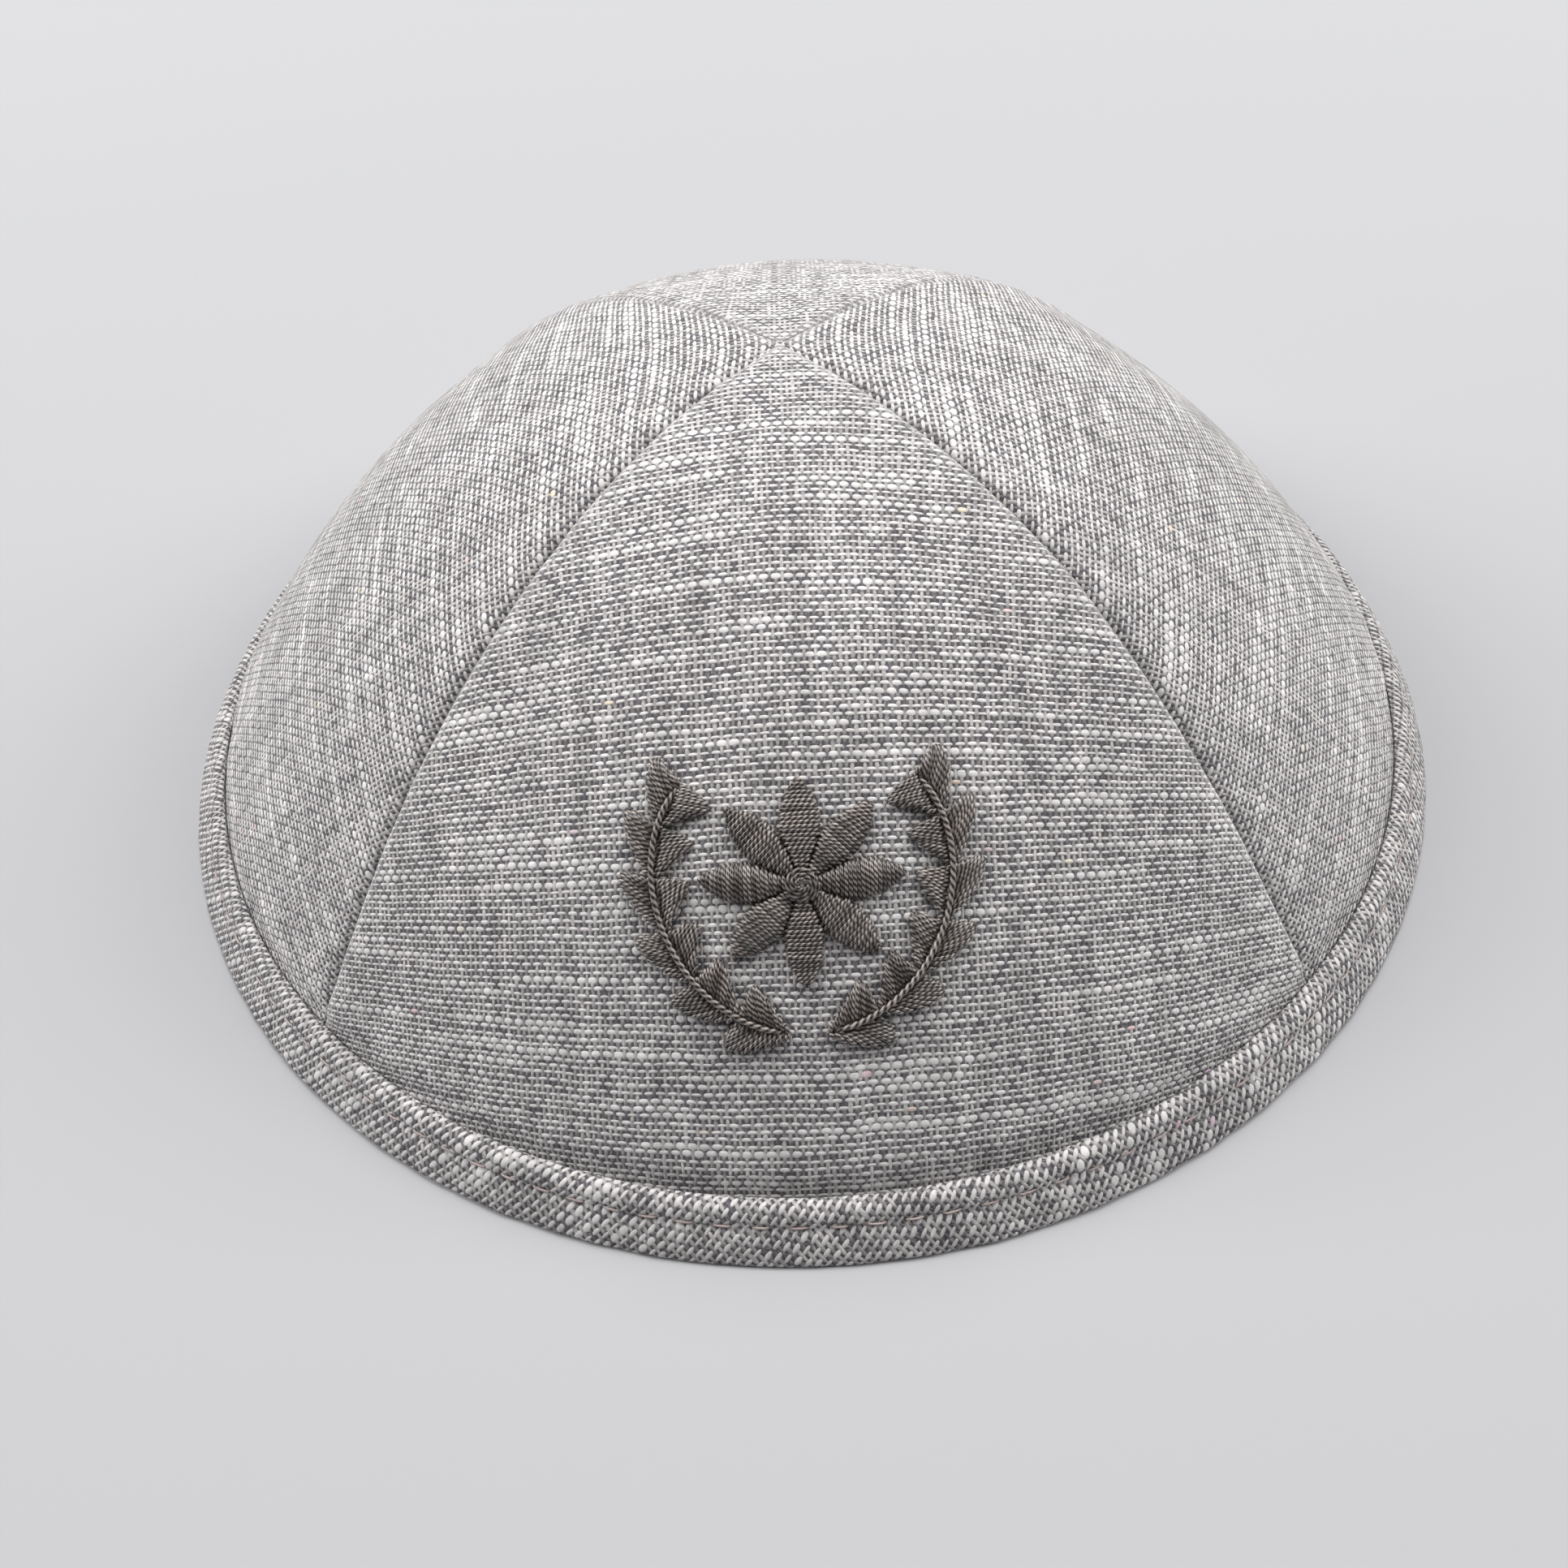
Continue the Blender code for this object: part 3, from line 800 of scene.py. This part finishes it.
def makeRosette():
    bm, layers = newThreads()
    radius, pitch = embroidery["rosetteRadius"], embroidery["pitch"]
    inner = embroidery["petalStart"]
    steps = int((radius - embroidery["petalMargin"] - inner) / pitch)
    for petal in range(embroidery["petals"]):
        turn = 2 * pi * petal / embroidery["petals"]
        axis = Vector((cos(turn), sin(turn)))
        across = Vector((-axis.y, axis.x))
        for i in range(steps + 1):
            along = inner + pitch * i
            width = petalHalfWidth(along)
            middle = axis * along
            rise = embroidery["crown"] * (0.55 + 0.45 * min(1, width / embroidery["fullWidth"]))
            addStitch(bm, layers, middle - across * width, middle + across * width, rise)

    def coil(share):
        # over the middle, where the petals meet
        around = 2 * pi * embroidery["coilTurns"] * share
        out = embroidery["coilInner"] + (embroidery["coilOuter"] - embroidery["coilInner"]) * share
        lift = embroidery["crown"] + embroidery["coilRise"] - embroidery["coilFall"] * share
        return emblemPoint(out * cos(around), out * sin(around), lift)
    layThread(bm, layers, coil, 120, embroidery["thread"], embroidery["twist"])
    layUv(bm, "thread", *layers)
    return finishPiece("satin_rosette", bm, emblemThread, ["embroidery_rosette"])


def makeSprig(name, node, side):
    bm, layers = newThreads()
    size = embroidery["sprigRadius"]
    count = round(size * embroidery["sprigTurn"] / embroidery["pitch"])

    def sprigPoint(along, across):
        leaf = sin(pi * ((along * embroidery["leafPairs"]) % 1.0))
        radius = size + across * (embroidery["stemHalf"] + embroidery["leafReach"] * leaf)
        lead = embroidery["leafLean"] / size * abs(across) * leaf
        turn = embroidery["sprigStart"] + embroidery["sprigTurn"] * along + lead
        return Vector((side * radius * sin(turn), -radius * cos(turn)))
    for i in range(count):
        along = (i + 0.5) / count
        for half in (-1, 1):
            vein, edge = sprigPoint(along, embroidery["vein"] * half), sprigPoint(along, half)
            addStitch(bm, layers, vein, edge, embroidery["sprigCrown"])

    def stem(share):
        flat = sprigPoint(share, 0)
        ends = min(1, 12 * min(share, 1 - share))
        return emblemPoint(flat.x, flat.y, embroidery["stemLift"] * ends)
    layThread(bm, layers, stem, 240, 1.3 * embroidery["thread"], 1.2 * embroidery["twist"])
    layUv(bm, "thread", *layers)
    return finishPiece(name, bm, emblemThread, [node])


makeRosette()
makeSprig("satin_sprig_right", "embroidery_sprig_right", 1)
makeSprig("satin_sprig_left", "embroidery_sprig_left", -1)
print("embroidery made")

stitch = {
    "length": 2.6 * mm,
    "radius": 0.13 * mm,
    "twist": 0.7 * mm,
    "stand": 0.17 * mm,  # over the band's pressed seam
    "dive": 0.55 * mm,  # of the ends into the cloth
}


def makeStitches():
    # the row of running stitches that holds the binding
    bm, layers = newThreads()
    for i in range(stitchCount):
        middle = 2 * pi * (i + 0.5) / stitchCount + random.uniform(-0.03, 0.03) * 2 * pi / stitchCount
        half = stitch["length"] / 2 / crown["radius"] * random.uniform(0.9, 1.08)
        drift = random.uniform(-0.08, 0.08) * mm

        def path(share):
            azimuth = middle + half * (2 * share - 1)
            height = binding["height"] * binding["stitchHeight"] + drift * (2 * share - 1)
            ends = (2 * share - 1) ** 4
            lift = binding["stand"] * binding["stitchStand"] + stitch["stand"] - stitch["dive"] * ends
            out = rimPoint(azimuth, height, mm) - rimPoint(azimuth, height, 0)
            return rimPoint(azimuth, height, lift), out.normalized()
        layThread(bm, layers, path, 14, stitch["radius"], stitch["twist"])
    layUv(bm, "thread", *layers)
    return finishPiece("binding_stitches", bm, seamThread, [])


makeStitches()
print("stitches made")


# Floor, light and camera

floorFinish = {"Base Color": linearColour("#bbbbbd"), "Roughness": 0.9, "Specular IOR Level": 0.1}
lights = {
    # place, size in metres and power in watts of each soft disk
    "overhead": ((0.03, 0.7, 1.22), 0.9, 14.8),
    "left": ((-1.12, 0.2, 0.82), 0.8, 13.0),
    "right": ((1.12, 0.15, 0.82), 0.8, 12.0),
}
skyStrength = 0.09


def makeFloor():
    bm = bmesh.new()
    bmesh.ops.create_grid(bm, x_segments=1, y_segments=1, size=3.0)
    mesh = bpy.data.meshes.new("floor")
    bm.to_mesh(mesh)
    bm.free()
    mesh.materials.append(newMaterial("paleMattFloor", floorFinish)[0])
    floor = bpy.data.objects.new("floor", mesh)
    floor.location.z = -0.05 * mm
    bpy.context.scene.collection.objects.link(floor)


def addLight(name, place, size, power):
    light = bpy.data.lights.new(name, "AREA")
    light.shape = "DISK"
    light.size = size
    light.energy = power
    lamp = bpy.data.objects.new(name, light)
    lamp.location = place
    lamp.rotation_euler = (-Vector(place)).to_track_quat("-Z", "Y").to_euler()
    bpy.context.scene.collection.objects.link(lamp)


makeFloor()
for name, (place, size, power) in lights.items():
    addLight(name, place, size, power)
world = bpy.data.worlds.new("studio")
world.use_nodes = True
world.node_tree.nodes["Background"].inputs[0].default_value = linearColour("#f4f5f7")
world.node_tree.nodes["Background"].inputs[1].default_value = skyStrength
bpy.context.scene.world = world
bpy.context.scene.view_settings.view_transform = "Standard"

# The camera stands above the front, at the photo's angle over the floor
view = {
    "azimuth": radians(0.979),
    "elevation": radians(43.25),
    "distance": 2.4163 * crown["radius"],
    "lens": 32.61,
    "yaw": radians(-0.9085),
    "pitch": radians(-4.003),
    "roll": radians(3.4961),
}


def makeCamera():
    out = cos(view["elevation"])
    place = Vector((sin(view["azimuth"]) * out, -cos(view["azimuth"]) * out, sin(view["elevation"])))
    ahead = -place
    right = Vector((cos(view["azimuth"]), sin(view["azimuth"]), 0))
    up = right.cross(ahead)
    ex = cos(view["yaw"]) * right - sin(view["yaw"]) * ahead
    ez = sin(view["yaw"]) * right + cos(view["yaw"]) * ahead
    ey = cos(view["pitch"]) * up - sin(view["pitch"]) * ez
    ez = sin(view["pitch"]) * up + cos(view["pitch"]) * ez
    across = cos(view["roll"]) * ex - sin(view["roll"]) * ey
    above = sin(view["roll"]) * ex + cos(view["roll"]) * ey
    data = bpy.data.cameras.new("camera")
    data.sensor_width = 36
    data.lens = view["lens"]
    data.clip_start = 0.01
    camera = bpy.data.objects.new("camera", data)
    axes = Matrix((across, above, -ez)).transposed().to_4x4()
    camera.matrix_world = Matrix.Translation(place * view["distance"]) @ axes
    bpy.context.scene.collection.objects.link(camera)
    bpy.context.scene.camera = camera


makeCamera()
print("scene ready")
